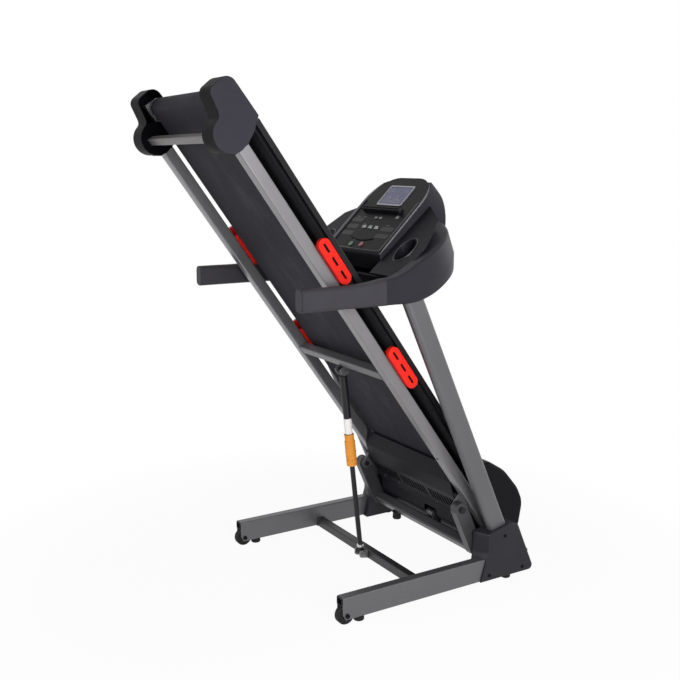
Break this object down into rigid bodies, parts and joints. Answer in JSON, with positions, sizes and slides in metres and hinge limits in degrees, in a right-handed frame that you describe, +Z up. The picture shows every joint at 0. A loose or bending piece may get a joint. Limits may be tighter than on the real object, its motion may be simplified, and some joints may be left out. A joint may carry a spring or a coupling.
{
  "type": "folding treadmill",
  "caption": "Folding home treadmill in its folded position, with motor hood, console, handlebars, incline lift and gas strut.",
  "frame": {"origin": "on the floor, under the middle of the folded machine's bounding box", "axes": "+X to the right of a user who faces the console, +Y from the user towards the console, +Z up"},
  "size_m": [0.7152, 1.0778, 1.5027],
  "materials": {
    "frame_metal": "satin silver grey paint",
    "bright_tube": "satin light silver paint",
    "dark_steel": "satin black paint",
    "bare_steel": "brushed",
    "charcoal_plastic": "fine grain",
    "grey_plastic": "satin",
    "panel_plastic": "satin film",
    "silver_trim": "satin",
    "screen": "smooth",
    "belt_rubber": "fine woven texture",
    "foot_rubber": "matte",
    "red_rubber": "satin",
    "orange_plastic": "satin",
    "grip_foam": "fine grain",
    "deck_wood": "sealed board",
    "roller_steel": "turned",
    "red_key": "satin",
    "green_key": "satin",
    "pale_key": "satin"
  },
  "bodies": {
    "base": {"base_rail_left": "frame_metal", "base_rail_right": "frame_metal", "rail_end_inserts": "charcoal_plastic", "base_crossbar": "frame_metal", "strut_bracket": "dark_steel", "base_fasteners": "bare_steel", "base_feet": "foot_rubber", "boot_left": "charcoal_plastic", "boot_right": "charcoal_plastic", "upright_left": "frame_metal", "upright_right": "frame_metal", "fold_pivots": "dark_steel", "console_crossbar": "dark_steel", "console_housing": "charcoal_plastic", "console_panel": "panel_plastic", "display_window": "screen", "console_trims": "silver_trim", "tablet_ledge": "charcoal_plastic", "console_board": "dark_steel", "console_cowl": "grey_plastic", "handle_grips": "grip_foam", "console_trays": "charcoal_plastic", "cup_holders": "charcoal_plastic", "console_underside": "charcoal_plastic"},
    "deck": {"deck_side_tubes": "bright_tube", "deck_end_bars": "frame_metal", "deck_mid_bar": "frame_metal", "deck_brackets": "frame_metal", "lift_bolts": "bare_steel", "deck_board": "deck_wood", "running_belt": "belt_rubber", "foot_rails": "charcoal_plastic", "deck_cushions": "red_rubber", "end_cap_left": "charcoal_plastic", "end_cap_right": "charcoal_plastic", "roller_axles": "bare_steel", "drive_motor": "dark_steel", "drive_belt": "belt_rubber", "motor_controller": "silver_trim", "motor_hood": "charcoal_plastic", "belly_pan": "charcoal_plastic"},
    "lift": {"lift_frame": "frame_metal"},
    "front_roller_body": {"front_roller": "roller_steel"},
    "rear_roller_body": {"rear_roller": "roller_steel"},
    "rotor": {"motor_rotor": "roller_steel"},
    "actuator_barrel": {"actuator_body": "dark_steel"},
    "actuator_screw": {"actuator_tube": "bare_steel"},
    "strut_lower": {"strut_rod": "bare_steel"},
    "strut_upper": {"strut_tube": "dark_steel", "strut_sleeve": "orange_plastic"},
    "wheel_left": {"base_wheel_left": "foot_rubber"},
    "wheel_right": {"base_wheel_right": "foot_rubber"},
    "key_start_body": {"key_start": "green_key"},
    "key_stop_body": {"key_stop": "red_key"},
    "key_quick_1_body": {"key_quick_1": "pale_key"},
    "key_quick_2_body": {"key_quick_2": "pale_key"},
    "key_quick_3_body": {"key_quick_3": "pale_key"},
    "key_speed_down_body": {"key_speed_down": "pale_key"},
    "key_speed_up_body": {"key_speed_up": "pale_key"},
    "key_mode_body": {"key_mode": "pale_key"}
  },
  "joints": [
    {"name": "deck_fold", "type": "hinge", "parent": "base", "child": "deck", "pos_m": [0, 0.33197, 0.098], "axis": [1, 0, 0], "range_deg": [0, 59]},
    {"name": "lift_swing", "type": "hinge", "parent": "deck", "child": "lift", "pos_m": [0, 0.26974, 0.23645], "axis": [1, 0, 0], "range_deg": [-28, 0]},
    {"name": "actuator_swing", "type": "hinge", "parent": "deck", "child": "actuator_barrel", "pos_m": [0.046, 0.49816, 0.14073], "axis": [1, 0, 0], "range_deg": [0, 4.98]},
    {"name": "actuator_extend", "type": "slide", "parent": "actuator_barrel", "child": "actuator_screw", "axis": [0, -0.9993, -0.0368], "range_m": [0, 0.05778]},
    {"name": "strut_swing", "type": "hinge", "parent": "base", "child": "strut_lower", "pos_m": [0, 0.08497, 0.035], "axis": [1, 0, 0], "range_deg": [0, 72.65]},
    {"name": "strut_slide", "type": "slide", "parent": "strut_lower", "child": "strut_upper", "axis": [0, 0.1142, -0.9935], "range_m": [0, 0.22262]},
    {"name": "front_roller_spin", "type": "hinge", "parent": "deck", "child": "front_roller_body", "pos_m": [0, 0.34779, 0.3061], "axis": [1, 0, 0], "continuous": true},
    {"name": "rear_roller_spin", "type": "hinge", "parent": "deck", "child": "rear_roller_body", "pos_m": [0, -0.47242, 1.45176], "axis": [1, 0, 0], "continuous": true},
    {"name": "motor_spin", "type": "hinge", "parent": "deck", "child": "rotor", "pos_m": [0, 0.44101, 0.20681], "axis": [1, 0, 0], "continuous": true},
    {"name": "wheel_left_spin", "type": "hinge", "parent": "base", "child": "wheel_left", "pos_m": [-0.334, -0.18303, 0.0286], "axis": [1, 0, 0], "continuous": true},
    {"name": "wheel_right_spin", "type": "hinge", "parent": "base", "child": "wheel_right", "pos_m": [0.334, -0.18303, 0.0286], "axis": [1, 0, 0], "continuous": true},
    {"name": "key_start_press", "type": "slide", "parent": "base", "child": "key_start_body", "axis": [0, 0.7022, -0.712], "range_m": [0, 0.002], "stiffness_N_per_m": 400, "springref_m": -0.0005},
    {"name": "key_stop_press", "type": "slide", "parent": "base", "child": "key_stop_body", "axis": [0, 0.7022, -0.712], "range_m": [0, 0.002], "stiffness_N_per_m": 400, "springref_m": -0.0005},
    {"name": "key_quick_1_press", "type": "slide", "parent": "base", "child": "key_quick_1_body", "axis": [0, 0.7022, -0.712], "range_m": [0, 0.002], "stiffness_N_per_m": 400, "springref_m": -0.0005},
    {"name": "key_quick_2_press", "type": "slide", "parent": "base", "child": "key_quick_2_body", "axis": [0, 0.7022, -0.712], "range_m": [0, 0.002], "stiffness_N_per_m": 400, "springref_m": -0.0005},
    {"name": "key_quick_3_press", "type": "slide", "parent": "base", "child": "key_quick_3_body", "axis": [0, 0.7022, -0.712], "range_m": [0, 0.002], "stiffness_N_per_m": 400, "springref_m": -0.0005},
    {"name": "key_speed_down_press", "type": "slide", "parent": "base", "child": "key_speed_down_body", "axis": [0, 0.7022, -0.712], "range_m": [0, 0.002], "stiffness_N_per_m": 400, "springref_m": -0.0005},
    {"name": "key_speed_up_press", "type": "slide", "parent": "base", "child": "key_speed_up_body", "axis": [0, 0.7022, -0.712], "range_m": [0, 0.002], "stiffness_N_per_m": 400, "springref_m": -0.0005},
    {"name": "key_mode_press", "type": "slide", "parent": "base", "child": "key_mode_body", "axis": [0, 0.7022, -0.712], "range_m": [0, 0.002], "stiffness_N_per_m": 400, "springref_m": -0.0005}
  ],
  "couplings": [
    {"joint": "actuator_swing", "follows": "lift_swing", "ratio": -0.17444},
    {"joint": "actuator_extend", "follows": "lift_swing", "m_per_rad": -0.11722},
    {"joint": "strut_swing", "follows": "deck_fold", "ratio": 1.2297},
    {"joint": "strut_slide", "follows": "deck_fold", "m_per_rad": 0.2157},
    {"joint": "rear_roller_spin", "follows": "front_roller_spin", "ratio": 1},
    {"joint": "motor_spin", "follows": "front_roller_spin", "ratio": 1.4235}
  ]
}
